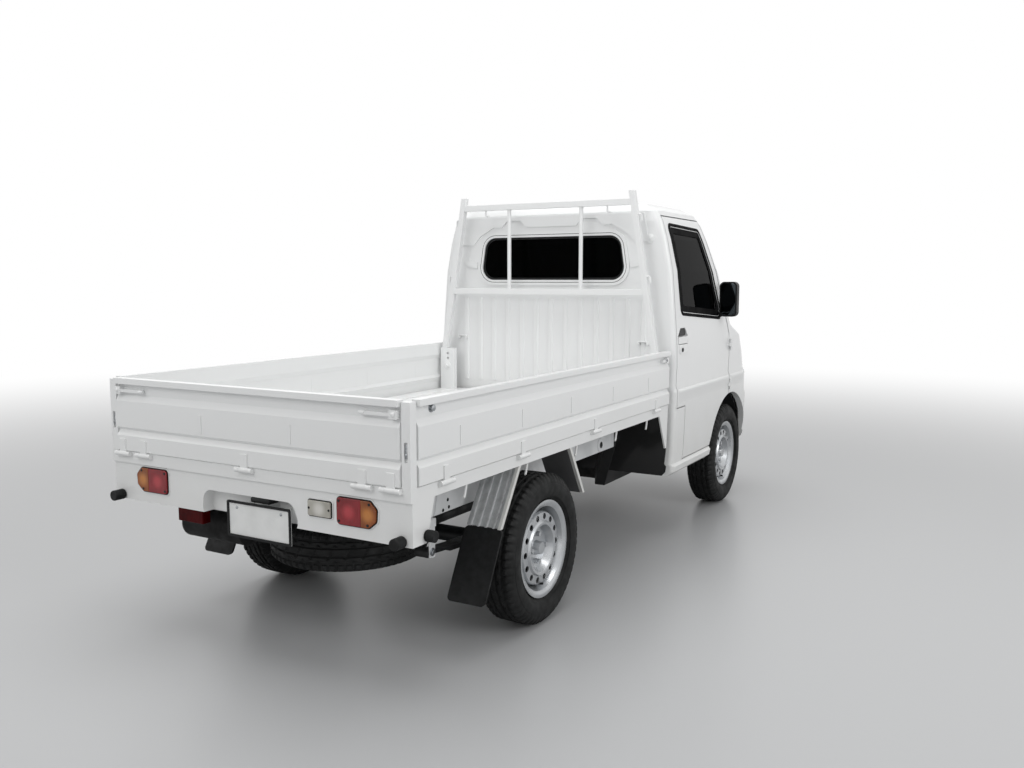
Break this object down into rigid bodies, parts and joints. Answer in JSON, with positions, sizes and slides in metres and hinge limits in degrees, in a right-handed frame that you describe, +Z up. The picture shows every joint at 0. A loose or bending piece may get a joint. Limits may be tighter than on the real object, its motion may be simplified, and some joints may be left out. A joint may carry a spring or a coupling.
{
  "type": "pickup truck",
  "caption": "Small white semi-cab-over pickup with a drop-side load bed, hinged cab doors, a guard frame behind the cab and steered front wheels.",
  "frame": {"origin": "on the ground under the middle of the bounding box", "axes": "+X to the vehicle's right, +Y forward, +Z up"},
  "size_m": [1.684, 3.94, 1.8449],
  "materials": {
    "white_paint": "gloss",
    "black_paint": "satin",
    "grey_paint": "satin",
    "wheel_silver": "satin",
    "tyre_rubber": "matte",
    "rubber": "matte",
    "black_plastic": "matte",
    "seat_vinyl": "matte",
    "glass": "gloss",
    "clear_lens": "gloss",
    "red_lens": "gloss",
    "amber_lens": "gloss",
    "plate_paint": "satin",
    "cast_iron": "matte",
    "spring_steel": "satin"
  },
  "bodies": {
    "truck": {"bed_floor": "white_paint", "bed_posts": "white_paint", "cab_back": "white_paint", "cab_floor": "white_paint", "cab_glass": "glass", "cab_roof": "white_paint", "cab_side_left": "white_paint", "cab_side_right": "white_paint", "dashboard": "black_plastic", "engine_block": "cast_iron", "fog_lamp": "red_lens", "frame_crossmembers": "grey_paint", "frame_rails": "grey_paint", "front_bumper": "white_paint", "front_suspension": "black_paint", "fuel_tank": "grey_paint", "gate_stops": "rubber", "grille": "black_plastic", "guard_posts": "white_paint", "guard_rails": "white_paint", "guard_uprights": "white_paint", "head_lamps": "clear_lens", "leaf_springs": "spring_steel", "mud_flaps": "rubber", "mud_guards": "white_paint", "nose_panel": "white_paint", "prop_shaft": "black_paint", "rear_axle": "black_paint", "rear_panel": "white_paint", "rear_plate": "plate_paint", "reverse_lamp": "clear_lens", "seats": "seat_vinyl", "silencer": "black_paint", "spare_rim": "wheel_silver", "spare_tyre": "tyre_rubber", "tail_lamps": "red_lens", "turn_lamps": "amber_lens", "wheel_liners": "black_plastic"},
    "door_left": {"door_left": "white_paint", "door_glass_left": "glass", "mirror_left": "black_plastic"},
    "door_right": {"door_right": "white_paint", "door_glass_right": "glass", "mirror_right": "black_plastic"},
    "tailgate": {"tailgate": "white_paint"},
    "gate_left": {"gate_left": "white_paint"},
    "gate_right": {"gate_right": "white_paint"},
    "knuckle_left": {"knuckle_left": "black_paint"},
    "knuckle_right": {"knuckle_right": "black_paint"},
    "wheel_front_left": {"tyre_front_left": "tyre_rubber", "rim_front_left": "wheel_silver"},
    "wheel_front_right": {"tyre_front_right": "tyre_rubber", "rim_front_right": "wheel_silver"},
    "wheel_rear_left": {"tyre_rear_left": "tyre_rubber", "rim_rear_left": "wheel_silver"},
    "wheel_rear_right": {"tyre_rear_right": "tyre_rubber", "rim_rear_right": "wheel_silver"},
    "steering_wheel": {"steering_wheel": "black_plastic"}
  },
  "joints": [
    {"name": "door_left_hinge", "type": "hinge", "parent": "truck", "child": "door_left", "pos_m": [-0.75, 1.34, 0.9], "axis": [0, 0, -1], "range_deg": [0, 65]},
    {"name": "door_right_hinge", "type": "hinge", "parent": "truck", "child": "door_right", "pos_m": [0.75, 1.34, 0.9], "axis": [0, 0, 1], "range_deg": [0, 65]},
    {"name": "tailgate_hinge", "type": "hinge", "parent": "truck", "child": "tailgate", "pos_m": [0, -1.94, 0.722], "axis": [1, 0, 0], "range_deg": [0, 168]},
    {"name": "gate_left_hinge", "type": "hinge", "parent": "truck", "child": "gate_left", "pos_m": [-0.723, -0.787, 0.722], "axis": [0, -1, 0], "range_deg": [0, 168]},
    {"name": "gate_right_hinge", "type": "hinge", "parent": "truck", "child": "gate_right", "pos_m": [0.723, -0.787, 0.722], "axis": [0, 1, 0], "range_deg": [0, 168]},
    {"name": "steer_left", "type": "hinge", "parent": "truck", "child": "knuckle_left", "pos_m": [-0.52, 1.385, 0.306], "axis": [0, 0, 1], "range_deg": [-35, 35]},
    {"name": "steer_right", "type": "hinge", "parent": "truck", "child": "knuckle_right", "pos_m": [0.52, 1.385, 0.306], "axis": [0, 0, 1], "range_deg": [-35, 35]},
    {"name": "steering_wheel_turn", "type": "hinge", "parent": "truck", "child": "steering_wheel", "pos_m": [-0.33, 0.995, 1.08], "axis": [0, -0.8051, 0.5932], "range_deg": [-420, 420]},
    {"name": "wheel_front_left_spin", "type": "hinge", "parent": "knuckle_left", "child": "wheel_front_left", "pos_m": [-0.643, 1.385, 0.306], "axis": [-1, 0, 0], "continuous": true},
    {"name": "wheel_front_right_spin", "type": "hinge", "parent": "knuckle_right", "child": "wheel_front_right", "pos_m": [0.643, 1.385, 0.306], "axis": [-1, 0, 0], "continuous": true},
    {"name": "wheel_rear_left_spin", "type": "hinge", "parent": "truck", "child": "wheel_rear_left", "pos_m": [-0.637, -1.015, 0.306], "axis": [-1, 0, 0], "continuous": true},
    {"name": "wheel_rear_right_spin", "type": "hinge", "parent": "truck", "child": "wheel_rear_right", "pos_m": [0.637, -1.015, 0.306], "axis": [-1, 0, 0], "continuous": true}
  ],
  "couplings": [
    {"joint": "steer_right", "follows": "steer_left", "ratio": 1},
    {"joint": "steering_wheel_turn", "follows": "steer_left", "ratio": 12}
  ]
}
